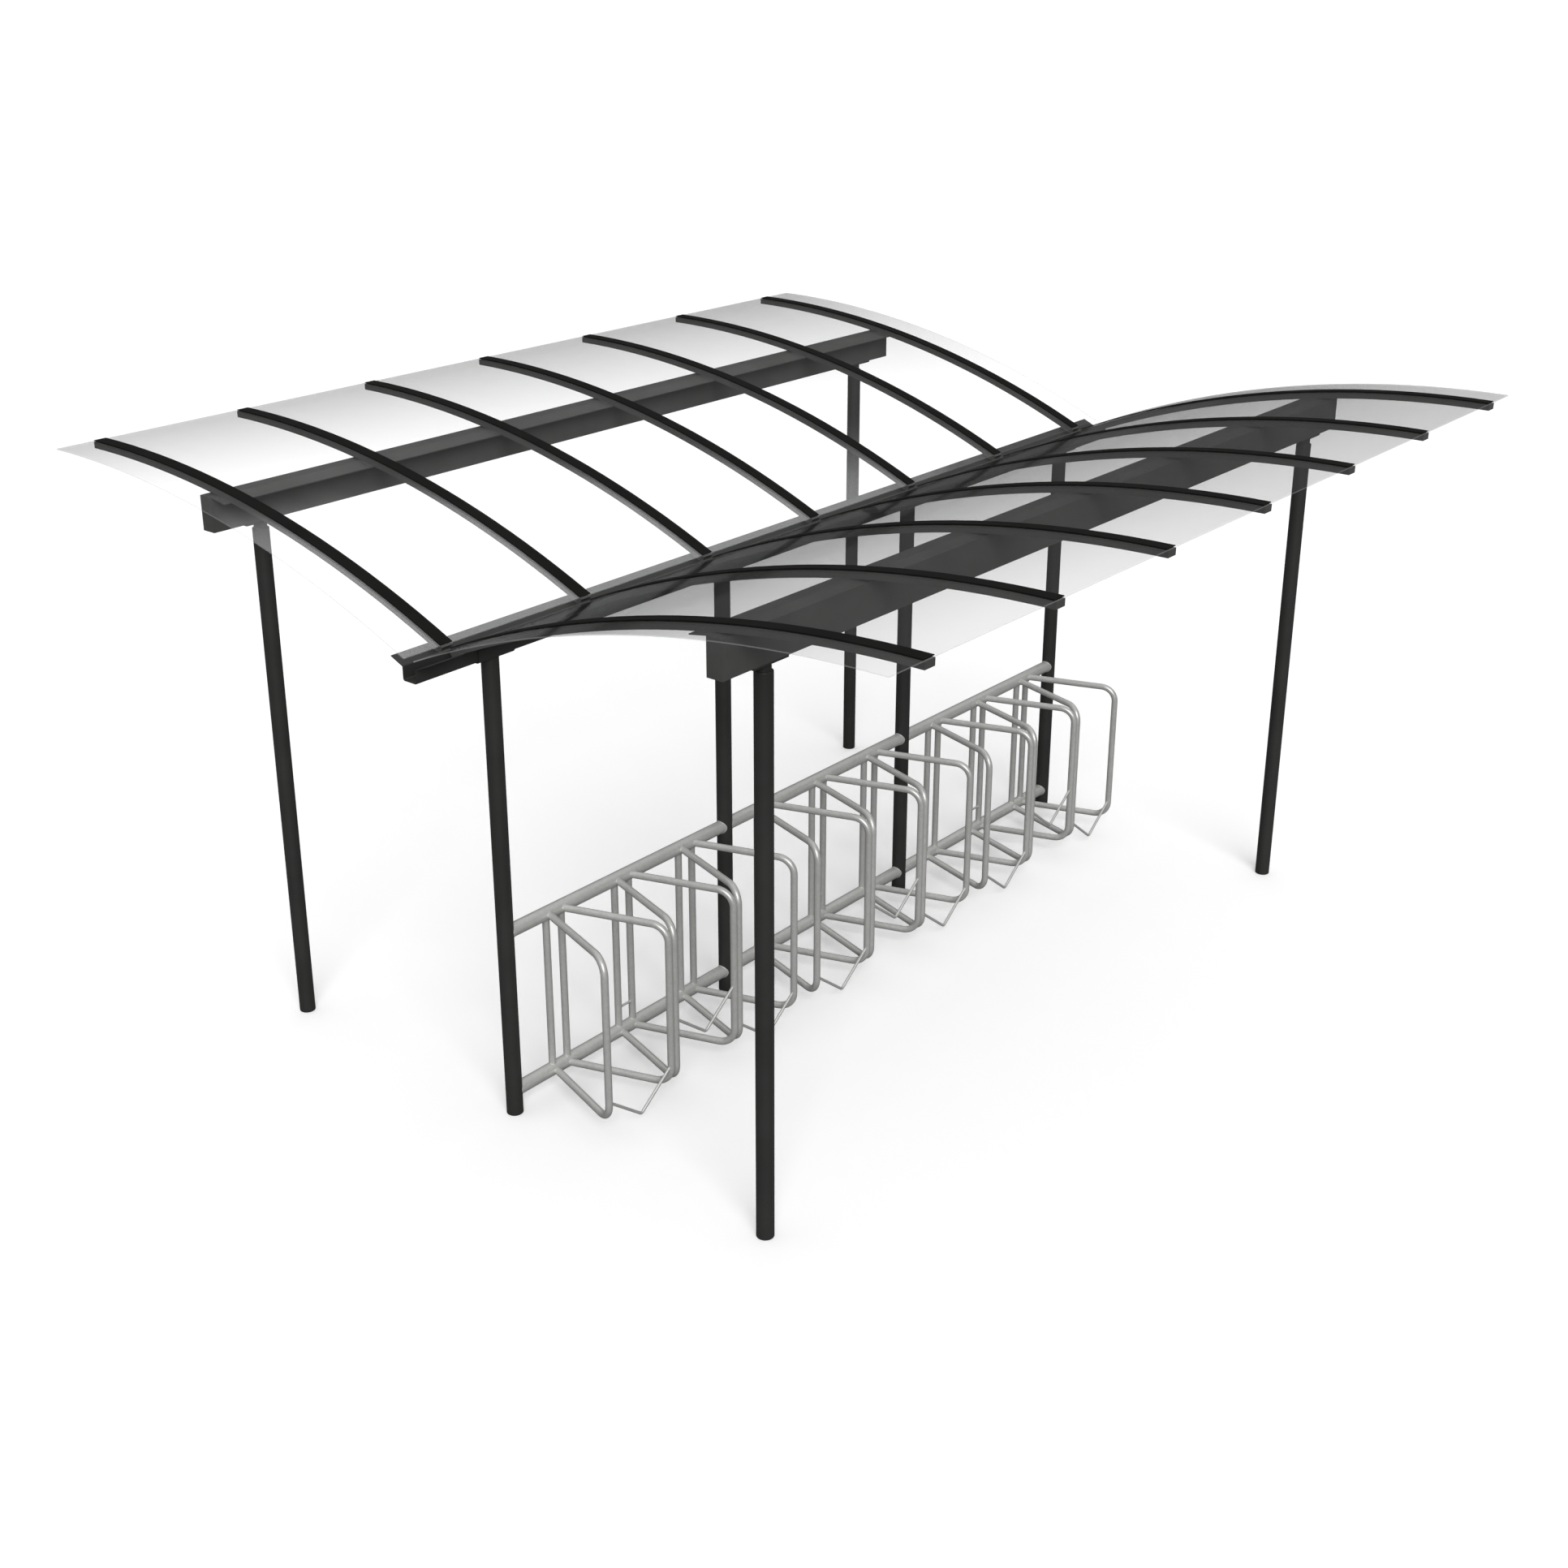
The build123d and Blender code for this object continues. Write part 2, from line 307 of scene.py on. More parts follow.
def clear_coat(sheet):
    """Clear sheet: smoky and glossy at a shallow angle, a faint dust film, light cut edges."""
    # How far a view is turned from straight on, from 0 to 1, where the reflection fades and where
    # the sheet starts to look smoky
    fade_start, fade_end, faded_share = 0.50, 0.60, 0.70
    shallow_start = 0.64
    finish = new_finish("shelter_clear_sheet")
    place = finish.place()
    facing = finish.node("ShaderNodeLayerWeight", inputs={"Blend": 0.5}, output="Facing")
    steep = sheet.mirror * (1 - faded_share * facing.ramp(fade_start, fade_end))
    mirror_share = steep + sheet.shallow_mirror * facing.ramp(shallow_start, 1.0)
    true_normal = finish.node("ShaderNodeNewGeometry", output="True Normal")
    across = finish.node("ShaderNodeSeparateXYZ", inputs={0: true_normal})
    along = Field(finish, across.socket.node.outputs[1])
    # A cut edge faces level, and a sheet's own faces never lean this far
    edge = abs(along).largest(abs(across)).ramp(0.68, 0.72)
    cloud = finish.noise(place, 1.6, 3.0)
    specks = finish.noise(place, 160.0, 2.0)
    film = sheet.film * (0.5 + cloud) * (0.7 + 0.6 * specks)
    wave = finish.noise(finish.stretched(place, 1.0, 2.2, 1.0), 1.3, 1.0)
    straight, shallow = [
        finish.node("ShaderNodeBsdfTransparent", inputs={"Color": grey(share)})
        for share in (sheet.clarity, sheet.shallow_clarity)
    ]
    smoke = ((facing - shallow_start) / (1.0 - shallow_start)).largest(0.0)
    through = finish.node("ShaderNodeMixShader", inputs={0: smoke, 1: straight, 2: shallow})
    mirror = finish.node(
        "ShaderNodeBsdfPrincipled",
        inputs={
            "Base Color": (0.96, 0.97, 0.97, 1.0),
            "Metallic": 1.0,
            "Roughness": sheet.gloss + cloud * 0.04,
            "Normal": finish.bump(wave, 0.002),
        },
    )
    body = finish.node(
        "ShaderNodeBsdfPrincipled",
        inputs={"Base Color": (*sheet.edge_tint, 1.0), "Roughness": 0.4},
    )
    face = finish.node("ShaderNodeMixShader", inputs={0: mirror_share, 1: through, 2: mirror})
    solid = film.largest(edge * sheet.edge_share)
    finish.surface(finish.node("ShaderNodeMixShader", inputs={0: solid, 1: face, 2: body}))
    return finish.holder


def wear(material, nodes):
    """Give every listed frame node this material."""
    for name in nodes:
        piece = frame["nodes"][name]
        if not piece.material_slots:
            raise RuntimeError(f"{name} has no material slot")
        for place in piece.material_slots:
            place.material = material


# Welds


AXES = {"Y": Vector((0.0, 1.0, 0.0)), "Z": Vector((0.0, 0.0, 1.0))}


def butt_seam(start, direction, radius, axis_name, axis_radius, steps):
    """Closed seam where a round tube comes out of the round bar whose axis it starts on."""
    start, direction, axis = Vector(start), Vector(direction).normalized(), AXES[axis_name]
    side = direction.orthogonal().normalized()
    other = direction.cross(side)
    points = []
    for step in range(steps):
        turn = tau * step / steps
        outward = cos(turn) * side + sin(turn) * other
        foot = radius * outward
        # The distance t along the tube solves |flat_foot + t flat_way| = axis_radius,
        # with both vectors taken across the bar's axis.
        flat_foot = foot - foot.dot(axis) * axis
        flat_way = direction - direction.dot(axis) * axis
        a, b = flat_way.length_squared, flat_foot.dot(flat_way)
        inside = b * b - a * (flat_foot.length_squared - axis_radius**2)
        if inside < 0:
            raise RuntimeError("a tube misses the bar that it is welded to")
        t = (sqrt(inside) - b) / a
        bar_normal = (flat_foot + t * flat_way) / axis_radius
        points.append((start + foot + t * direction, (outward + bar_normal).normalized()))
    return points, True


def lay_bead(points, width, ripple, closed, vertices, faces):
    """Append a rippled weld bead along a curve, as a ring of points round each of its points."""
    first = len(vertices)
    count = len(points)
    run = 0.0
    for index, (point, outward) in enumerate(points):
        before = points[index - 1][0] if closed or index > 0 else point
        after = points[(index + 1) % count][0] if closed or index < count - 1 else point
        along = (after - before).normalized()
        up = (outward - outward.dot(along) * along).normalized()
        across = along.cross(up)
        swell = width / 2 * (1 + RIPPLE_SWELL * abs(sin(pi * run / ripple)))
        end = 1.0 if closed or 0 < index < count - 1 else BEAD_END
        for corner in range(BEAD_RING):
            turn = tau * corner / BEAD_RING
            section = cos(turn) * across + BEAD_FLATNESS * sin(turn) * up
            vertices.append(point + end * swell * section)
        if index < count - 1:
            run += (points[index + 1][0] - point).length
    spans = count if closed else count - 1
    for span in range(spans):
        here = first + span * BEAD_RING
        there = first + (span + 1) % count * BEAD_RING
        for corner in range(BEAD_RING):
            following = (corner + 1) % BEAD_RING
            faces.append((here + corner, here + following, there + following, there + corner))
    if not closed:
        last = first + (count - 1) * BEAD_RING
        faces.append(tuple(first + corner for corner in reversed(range(BEAD_RING))))
        faces.append(tuple(last + corner for corner in range(BEAD_RING)))


def weld_piece(name, seams, beads, material):
    """One mesh piece from a list of seams: each one's points, and whether it closes on itself."""
    vertices, faces = [], []
    for points, closed in seams:
        lay_bead(points, beads.weld_width, beads.weld_ripple, closed, vertices, faces)
    mesh = bpy.data.meshes.new(name)
    mesh.from_pydata(vertices, [], faces)
    mesh.update()
    mesh.shade_smooth()
    mesh.materials.append(material)
    piece = bpy.data.objects.new(name, mesh)
    bpy.context.scene.collection.objects.link(piece)
    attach(piece, BODY)


def ring_seam(centre, radius, steps):
    """Level ring round a post or spigot, its bead leaning outwards and down."""
    points = []
    for step in range(steps):
        turn = tau * step / steps
        outward = Vector((cos(turn), sin(turn), 0.0))
        lean = (outward - AXES["Z"]).normalized()
        points.append((Vector(centre) + radius * outward, lean))
    return points, True


def line_seam(start, end, outward, steps):
    """Straight seam from start to end."""
    start, end = Vector(start), Vector(end)
    outward = Vector(outward).normalized()
    return [(start.lerp(end, step / (steps - 1)), outward) for step in range(steps)], False


def wheel_places(bay):
    """Height and middle along Y of each wheel place of one bay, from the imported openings."""
    places = []
    for gap in frame["record"]["physics"]["openings"]:
        if gap["name"].startswith(f"wheel_place_{bay}_"):
            low, high = gap["box_m"]
            places.append((low[2], (low[1] + high[1]) / 2))
    if not places:
        raise RuntimeError(f"the packed record has no wheel place in bay {bay}")
    return places


def rack_seams(bay, rack):
    """Every weld of one rack unit."""
    places = wheel_places(bay)
    high_above = min(height for height, _ in places) + rack.cradle_lift / 2
    seams = []

    def join(start, direction, radius, axis_name, axis_radius, steps):
        seams.append(butt_seam(start, direction, radius, axis_name, axis_radius, steps))

    for height, middle in places:
        high = height > high_above
        tip = ROD_LOWEST + (rack.cradle_lift if high else 0.0) + rack.cradle_sag
        for side in (-1, 1):
            upright = middle + side * rack.upright_spacing / 2
            root = middle + side * rack.hoop_root_spread / 2
            nose = middle + side * rack.hoop_spread / 2
            arm = (HOOP_REACH, nose - root, 0)
            for rail, way in zip(RAIL_HEIGHTS, (1, -1)):
                start = (0, upright, rail)
                join(start, (0, 0, way), UPRIGHT_RADIUS, "Y", RAIL_RADIUS, TUBE_SEAM_STEPS)
                join((0, root, rail), arm, HOOP_RADIUS, "Y", RAIL_RADIUS, TUBE_SEAM_STEPS)
            top = (HOOP_REACH, nose, tip + rack.cradle_drop)
            fall = (0, middle - nose, -rack.cradle_drop)
            join(top, fall, ROD_RADIUS, "Z", HOOP_RADIUS, ROD_SEAM_STEPS)
            if high:
                start = (0, upright, BAR_HEIGHT)
                join(start, (0, -side, 0), BAR_RADIUS, "Z", UPRIGHT_RADIUS, ROD_SEAM_STEPS)
    near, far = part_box(f"rack_rails_{bay}")
    for end, way in ((near.y, 1), (far.y, -1)):
        post = min(POST_ROW, key=lambda y: abs(y - end))
        for rail in RAIL_HEIGHTS:
            join((0, post, rail), (0, way, 0), RAIL_RADIUS, "Z", POST_RADIUS, POST_SEAM_STEPS)
    return seams


def saddle_seams(coat):
    """Welds of the gutter's saddles: one round each middle post, and one along each upper edge."""
    low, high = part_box("gutter_saddles")
    side = high.x - coat.saddle_plate + SADDLE_BEAD_OFFSET * coat.weld_width
    half = coat.saddle_length / 2
    seams = []
    for post in POST_ROW:
        seams.append(ring_seam((0, post, low.z), POST_RADIUS, POST_SEAM_STEPS))
        for way in (-1, 1):
            ends = [(way * side, post + reach, high.z) for reach in (-half, half)]
            seams.append(line_seam(*ends, (way, 0, 1), SADDLE_SEAM_STEPS))
    return seams


def head_seams(coat):
    """Welds of the outer posts' heads: round the spigot, and along both ends of the plate."""
    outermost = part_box("post_heads")[1]
    top = outermost.z
    half = coat.saddle_length / 2
    seams = []
    for node in POST_NODES:
        if node.startswith("post_middle"):
            continue
        low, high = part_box(node)
        x, y = (low.x + high.x) / 2, middle_along(node)
        centre = (x, y, top - coat.head_plate)
        seams.append(ring_seam(centre, coat.spigot_diameter / 2, SPIGOT_SEAM_STEPS))
        plate_half = outermost.x - abs(x)
        for way in (-1, 1):
            ends = [(x + reach, y + way * half, top) for reach in (-plate_half, plate_half)]
            seams.append(line_seam(*ends, (0, way, -1), HEAD_SEAM_STEPS))
    return seams


def rib_seams(coat, wing):
    """Stitch welds of one wing's ribs: along both sides of each, on the gutter and the beam."""
    side = "right" if wing > 0 else "left"
    beam_low, beam_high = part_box(f"beam_{side}")
    flange_tip = beam_low.x if wing > 0 else -beam_high.x
    stretches = (
        (half_width("gutter_saddles") + EDGE_INSET, half_width("gutter") - EDGE_INSET),
        (flange_tip + EDGE_INSET, flange_tip + coat.stitch_length),
    )
    arc_middle = coat.crown_height - coat.wing_radius
    arc_radius = coat.wing_radius - coat.rib_depth
    seams = []
    for node in RIB_NODES:
        if not node.startswith(f"rib_{side}"):
            continue
        for near, far in stretches:
            for way in (-1, 1):
                y = middle_along(node) + way * RIB_HALF
                outward = Vector((0, way, 1)).normalized()
                points = []
                for step in range(RIB_SEAM_STEPS):
                    x = near + (far - near) * step / (RIB_SEAM_STEPS - 1)
                    height = arc_middle + sqrt(arc_radius**2 - (coat.crown_x - x) ** 2)
                    points.append((Vector((wing * x, y, height)), outward))
                seams.append((points, False))
    return seams


class ShelterCoat(bpy.types.PropertyGroup):
    """Coats of the frame, and the sizes that its welds follow"""

    frame_colour: FloatVectorProperty(
        name="Frame colour",
        description="Powder coat of the beams and ribs",
        subtype="COLOR",
        size=3,
        min=0.0,
        max=1.0,
        default=(0.082, 0.081, 0.079),
    )
    # Painted shade: the same powder coat as the beams, made darker for the posts, their heads, the
    # gutter and its saddles
    post_painted_shade_colour: FloatVectorProperty(
        name="Post colour",
        description="Darker powder coat of the posts and their heads, and the gutter",
        subtype="COLOR",
        size=3,
        min=0.0,
        max=1.0,
        default=(0.034, 0.0335, 0.0325),
    )
    frame_roughness: FloatProperty(
        name="Frame roughness",
        description="Roughness of the powder coat",
        subtype="FACTOR",
        min=0.0,
        max=1.0,
        default=0.45,
    )
    strip_colour: FloatVectorProperty(
        name="Strip colour",
        description="Clamp strips on top of the clear sheets",
        subtype="COLOR",
        size=3,
        min=0.0,
        max=1.0,
        default=(0.0075, 0.0073, 0.0068),
    )
    strip_roughness: FloatProperty(
        name="Strip roughness",
        description="Roughness of the clamp strips",
        subtype="FACTOR",
        min=0.0,
        max=1.0,
        default=0.8,
    )
    saddle_length: FloatProperty(
        name="Saddle length",
        description="Length along the gutter of a saddle or head plate",
        subtype="DISTANCE",
        unit="LENGTH",
        default=0.2,
    )
    saddle_plate: FloatProperty(
        name="Saddle plate",
        description="Thickness of a saddle's plate",
        subtype="DISTANCE",
        unit="LENGTH",
        default=0.005,
    )
    head_plate: FloatProperty(
        name="Head plate",
        description="Thickness of the plate on an outer post's head",
        subtype="DISTANCE",
        unit="LENGTH",
        default=0.008,
    )
    spigot_diameter: FloatProperty(
        name="Spigot diameter",
        description="Diameter of an outer post's spigot",
        subtype="DISTANCE",
        unit="LENGTH",
        default=0.0603,
    )
    wing_radius: FloatProperty(
        name="Wing radius",
        description="Radius of the underside of the clear sheets",
        subtype="DISTANCE",
        unit="LENGTH",
        default=5.62,
    )
    crown_x: FloatProperty(
        name="Crown distance",
        description="From the middle of the gutter to where a wing is level",
        subtype="DISTANCE",
        unit="LENGTH",
        default=2.303,
    )
    crown_height: FloatProperty(
        name="Crown height",
        description="Height of a clear sheet's underside at the crown",
        subtype="DISTANCE",
        unit="LENGTH",
        default=2.765,
    )
    rib_depth: FloatProperty(
        name="Rib depth",
        description="Depth of a rib's tube",
        subtype="DISTANCE",
        unit="LENGTH",
        default=0.03,
    )
    stitch_length: FloatProperty(
        name="Stitch length",
        description="Length of a weld between a rib and a beam's flange",
        subtype="DISTANCE",
        unit="LENGTH",
        default=0.07,
    )
    weld_width: FloatProperty(
        name="Weld width",
        description="Width of a weld bead",
        subtype="DISTANCE",
        unit="LENGTH",
        min=0.001,
        max=0.02,
        default=0.005,
    )
    weld_ripple: FloatProperty(
        name="Weld ripple",
        description="Distance between the ripples of a bead",
        subtype="DISTANCE",
        unit="LENGTH",
        min=0.0005,
        max=0.02,
        default=0.005,
    )


class ShelterSheet(bpy.types.PropertyGroup):
    """Finish of the clear roof sheets"""

    clarity: FloatProperty(
        name="Clarity",
        description="Share of light that one face lets through, seen straight on",
        subtype="FACTOR",
        min=0.0,
        max=1.0,
        default=0.998,
    )
    shallow_clarity: FloatProperty(
        name="Shallow clarity",
        description="Share of light that one face lets through at a shallow angle",
        subtype="FACTOR",
        min=0.0,
        max=1.0,
        default=0.50,
    )
    mirror: FloatProperty(
        name="Reflection",
        description="Share of light that one face reflects, seen straight on",
        subtype="FACTOR",
        min=0.0,
        max=1.0,
        default=0.12,
    )
    shallow_mirror: FloatProperty(
        name="Shallow reflection",
        description="Share that one face reflects besides, seen edge on",
        subtype="FACTOR",
        min=0.0,
        max=1.0,
        default=0.20,
    )
    film: FloatProperty(
        name="Dust film",
        description="Share of one face that dust and fine scratches make milky",
        subtype="FACTOR",
        min=0.0,
        max=1.0,
        default=0.006,
    )
    gloss: FloatProperty(
        name="Gloss roughness",
        description="Roughness of the sheet's reflections",
        subtype="FACTOR",
        min=0.0,
        max=1.0,
        default=0.05,
    )
    edge_tint: FloatVectorProperty(
        name="Edge tint",
        description="Colour of the sheet's cut edges",
        subtype="COLOR",
        size=3,
        min=0.0,
        max=1.0,
        default=(0.94, 0.95, 0.95),
    )
    edge_share: FloatProperty(
        name="Edge brightness",
        description="How much of a cut edge shows as solid",
        subtype="FACTOR",
        min=0.0,
        max=1.0,
        default=0.15,
    )


class ShelterRack(bpy.types.PropertyGroup):
    """Finish of the racks, and the sizes that their welds follow"""

    colour: FloatVectorProperty(
        name="Steel colour",
        description="Galvanised steel of the racks",
        subtype="COLOR",
        size=3,
        min=0.0,
        max=1.0,
        default=(0.585, 0.585, 0.568),
    )
    metallic: FloatProperty(
        name="Metallic",
        description="How much the zinc reflects as bare metal",
        subtype="FACTOR",
        min=0.0,
        max=1.0,
        default=0.35,
    )
    roughness: FloatProperty(
        name="Roughness",
        description="Roughness of the zinc",
        subtype="FACTOR",
        min=0.0,
        max=1.0,
        default=0.35,
    )
    weld_width: FloatProperty(
        name="Weld width",
        description="Width of a weld bead",
        subtype="DISTANCE",
        unit="LENGTH",
        min=0.001,
        max=0.02,
        default=0.005,
    )
    weld_ripple: FloatProperty(
        name="Weld ripple",
        description="Distance between the ripples of a bead",
        subtype="DISTANCE",
        unit="LENGTH",
        min=0.0005,
        max=0.02,
        default=0.005,
    )
    upright_spacing: FloatProperty(
        name="Upright spacing",
        description="Between the middles of the two uprights of a place",
        subtype="DISTANCE",
        unit="LENGTH",
        default=0.0945,
    )
    hoop_spread: FloatProperty(
        name="Hoop spread",
        description="Between the noses of the two hoops of a place",
        subtype="DISTANCE",
        unit="LENGTH",
        default=0.4053,
    )
    hoop_root_spread: FloatProperty(
        name="Hoop root spread",
        description="Between a place's two hoops, on the axis of the rail",
        subtype="DISTANCE",
        unit="LENGTH",
        default=0.07374,
    )
    cradle_drop: FloatProperty(
        name="Cradle drop",
        description="Height from a cradle's tip to its ends",
        subtype="DISTANCE",
        unit="LENGTH",
        default=0.155,
    )
    cradle_lift: FloatProperty(
        name="Cradle lift",
        description="How much higher the cradle of a high place sits",
        subtype="DISTANCE",
        unit="LENGTH",
        default=0.222,
    )
    cradle_sag: FloatProperty(
        name="Cradle tip",
        description="From a cradle's lowest bend down to where its straight runs meet",
        subtype="DISTANCE",
        unit="LENGTH",
        default=-0.0041,
    )


class ShelterStudio(bpy.types.PropertyGroup):
    """Floor, light and camera"""

    floor_colour: FloatVectorProperty(
        name="Floor colour",
        description="Plain pale floor, as it is seen",
        subtype="COLOR",
        size=3,
        min=0.0,
        max=1.0,
        default=(0.97, 0.97, 0.97),
    )
    floor_bounce: FloatProperty(
        name="Floor bounce",
        description="Share of light that the floor throws back at the shelter",
        subtype="FACTOR",
        min=0.0,
        max=1.0,
        default=0.1,
    )
    floor_whiteness: FloatProperty(
        name="Floor whiteness",
        description="Plain white added to the floor as it is seen",
        subtype="FACTOR",
        min=0.0,
        max=1.0,
        default=0.20,
    )
    reflected_white: FloatProperty(
        name="Reflected white",
        description="How strongly gloss shows the white background",
        subtype="FACTOR",
        min=0.0,
        max=1.0,
        default=0.1,
    )
    overhead: FloatProperty(
        name="Overhead light",
        description="Radiance of the soft light overhead",
        min=0.0,
        default=1.0,
    )
    front_share: FloatProperty(
        name="Front share",
        description="How bright the overhead light is in front, against behind",
        subtype="FACTOR",
        min=0.0,
        max=1.0,
        default=0.62,
    )
    back_direction: FloatVectorProperty(
        name="Back direction",
        description="Towards the brighter half of the overhead light",
        subtype="DIRECTION",
        size=3,
        default=(-0.83, 0.55, 0.0),
    )
    horizon: FloatProperty(
        name="Horizon light",
        description="Radiance of the soft light at the horizon",
        min=0.0,
        default=0.04,
    )
    key_strength: FloatProperty(
        name="Key strength",
        description="Light of the wide soft lamp in front, in watts a square metre",
        min=0.0,
        default=2.3,
    )
    key_direction: FloatVectorProperty(
        name="Key direction",
        description="Towards the wide soft lamp in front",
        subtype="DIRECTION",
        size=3,
        default=(0.654, -0.568, 0.50),
    )
    key_spread: FloatProperty(
        name="Key spread",
        description="Angle that the wide soft lamp in front fills",
        subtype="ANGLE",
        unit="ROTATION",
        min=0.0,
        default=radians(40.0),
    )
    lens: FloatProperty(
        name="Lens",
        description="Focal length in millimetres on a 36 mm sensor",
        min=1.0,
        default=46.88,
    )
    camera_place: FloatVectorProperty(
        name="Camera place",
        description="Where the camera stands",
        subtype="TRANSLATION",
        unit="LENGTH",
        size=3,
        default=(5.931, -7.570, 5.037),
    )
    camera_heading: FloatProperty(
        name="Camera heading",
        description="Turn to the left of the Y axis",
        subtype="ANGLE",
        unit="ROTATION",
        default=radians(39.253),
    )
    camera_tilt: FloatProperty(
        name="Camera tilt",
        description="Angle below the horizon",
        subtype="ANGLE",
        unit="ROTATION",
        default=radians(21.906),
    )


class SHELTER_OT_paint_frame(bpy.types.Operator):
    """Powder-coat the beams and ribs, and the posts, heads, gutter and saddles in a darker copy of
    the coat that paints in shade.
    """

    bl_idname = "shelter.paint_frame"
    bl_label = "Paint frame"

    def execute(self, context):
        coat = context.scene.shelter_coat
        roof = powder_coat("shelter_roof_coat", coat.frame_colour, coat.frame_roughness)
        wear(roof, RIB_NODES + [f"beam_{wing}" for wing in WINGS] + ["beam_ends"])
        # The posts, heads, gutter and saddles get a darker copy of the coat, which paints in shade
        posts = powder_coat("shelter_post_coat", coat.post_painted_shade_colour, coat.frame_roughness)
        wear(posts, POST_NODES + ["post_heads", "gutter", "gutter_saddles"])
        return {"FINISHED"}


class SHELTER_OT_paint_strips(bpy.types.Operator):
    """Finish the clamp strips in matt black."""

    bl_idname = "shelter.paint_strips"
    bl_label = "Paint clamp strips"

    def execute(self, context):
        coat = context.scene.shelter_coat
        material = strip_coat(coat.strip_colour, coat.strip_roughness)
        wear(material, [f"clamp_strips_{wing}" for wing in WINGS])
        return {"FINISHED"}


class SHELTER_OT_clear_sheets(bpy.types.Operator):
    """Make the roof sheets clear, with bright cut edges."""

    bl_idname = "shelter.clear_sheets"
    bl_label = "Clear roof sheets"

    def execute(self, context):
        sheets = [f"roof_sheet_{wing}" for wing in WINGS]
        wear(clear_coat(context.scene.shelter_sheet), sheets)
        for name in sheets:
            frame["nodes"][name].visible_shadow = False
        return {"FINISHED"}


class SHELTER_OT_galvanise_racks(bpy.types.Operator):
    """Give the racks their galvanised finish."""

    bl_idname = "shelter.galvanise_racks"
    bl_label = "Galvanise racks"

    def execute(self, context):
        rack = context.scene.shelter_rack
        material = rack_coat(rack.colour, rack.metallic, rack.roughness)
        tubes = [f"rack_{part}_{bay}" for part in RACK_PARTS for bay in BAYS]
        wear(material, tubes + ["rack_stop_bars"])
        return {"FINISHED"}


class SHELTER_OT_weld_racks(bpy.types.Operator):
    """Lay the weld beads where the uprights, hoops, cradles, stop bars and rails meet."""

    bl_idname = "shelter.weld_racks"
    bl_label = "Weld racks"

    def execute(self, context):
        rack = context.scene.shelter_rack
        material = frame["nodes"]["rack_stop_bars"].active_material
        for bay in BAYS:
            weld_piece(f"rack_welds_{bay}", rack_seams(bay, rack), rack, material)
        return {"FINISHED"}


class SHELTER_OT_weld_frame(bpy.types.Operator):
    """Lay the weld beads of the saddles, the post heads and the ribs."""

    bl_idname = "shelter.weld_frame"
    bl_label = "Weld frame"

    def execute(self, context):
        coat = context.scene.shelter_coat
        pieces = {
            "saddle_welds": ("gutter_saddles", saddle_seams(coat)),
            "head_welds": ("post_heads", head_seams(coat)),
            "rib_welds_left": ("beam_left", rib_seams(coat, -1)),
            "rib_welds_right": ("beam_right", rib_seams(coat, 1)),
        }
        # The saddle and head welds take the darker post coat, with its painted shade
        for name, (node, seams) in pieces.items():
            material = frame["nodes"][node].active_material
            weld_piece(name, seams, coat, material)
        return {"FINISHED"}


class SHELTER_OT_set_stage(bpy.types.Operator):
    """Lay the floor, light the studio and place the camera."""

    bl_idname = "shelter.set_stage"
    bl_label = "Set stage"

    def execute(self, context):
        studio = context.scene.shelter_studio
        lay_floor(studio)
        light_studio(context.scene, studio)
        place_camera(context.scene, studio)
        context.scene.view_settings.view_transform = "Standard"
        return {"FINISHED"}


# Studio

# Half of the floor's width, and how far the camera sees
FLOOR_REACH = 150.0
VIEW_REACH = 500.0
# The overhead light fades in between these sines of the angle above the horizon, and goes from its
# front to its back strength between these cosines of the angle from the back direction.
OVERHEAD_EDGE = (0.53, 0.60)
BACK_LIGHT_EDGE = (-0.3, 0.5)
# Millimetres, and shares of the picture's width
SENSOR_WIDTH = 36.0
VIEW_SHIFT = (0.0030, -0.0340)


def seen_share(finish, reflected):
    """1 for rays from the camera or through glass, and this share for glossy rays."""
    rays = finish.node("ShaderNodeLightPath", output="Is Camera Ray")
    outputs = rays.socket.node.outputs
    seen = rays.largest(Field(finish, outputs["Is Transmission Ray"]))
    return seen.largest(reflected * Field(finish, outputs["Is Glossy Ray"]))


def lay_floor(studio):
    """Floor that shows as white where nothing shades it, and throws little light back up."""
    mesh = bpy.data.meshes.new("studio_floor")
    turns = ((-1, -1), (1, -1), (1, 1), (-1, 1))
    corners = [(x * FLOOR_REACH, y * FLOOR_REACH, 0.0) for x, y in turns]
    mesh.from_pydata(corners, [], [(0, 1, 2, 3)])
    finish = new_finish("studio_floor")
    pale = finish.node("ShaderNodeBsdfDiffuse", inputs={"Color": (*studio.floor_colour, 1.0)})
    white = finish.node(
        "ShaderNodeEmission", inputs={"Color": grey(1.0), "Strength": studio.floor_whiteness}
    )
    shown = finish.node("ShaderNodeAddShader", inputs={0: pale, 1: white})
    dim = finish.node("ShaderNodeBsdfDiffuse", inputs={"Color": grey(studio.floor_bounce)})
    seen = seen_share(finish, studio.reflected_white)
    finish.surface(finish.node("ShaderNodeMixShader", inputs={0: seen, 1: dim, 2: shown}))
    mesh.materials.append(finish.holder)
    floor = bpy.data.objects.new("studio_floor", mesh)
    bpy.context.scene.collection.objects.link(floor)


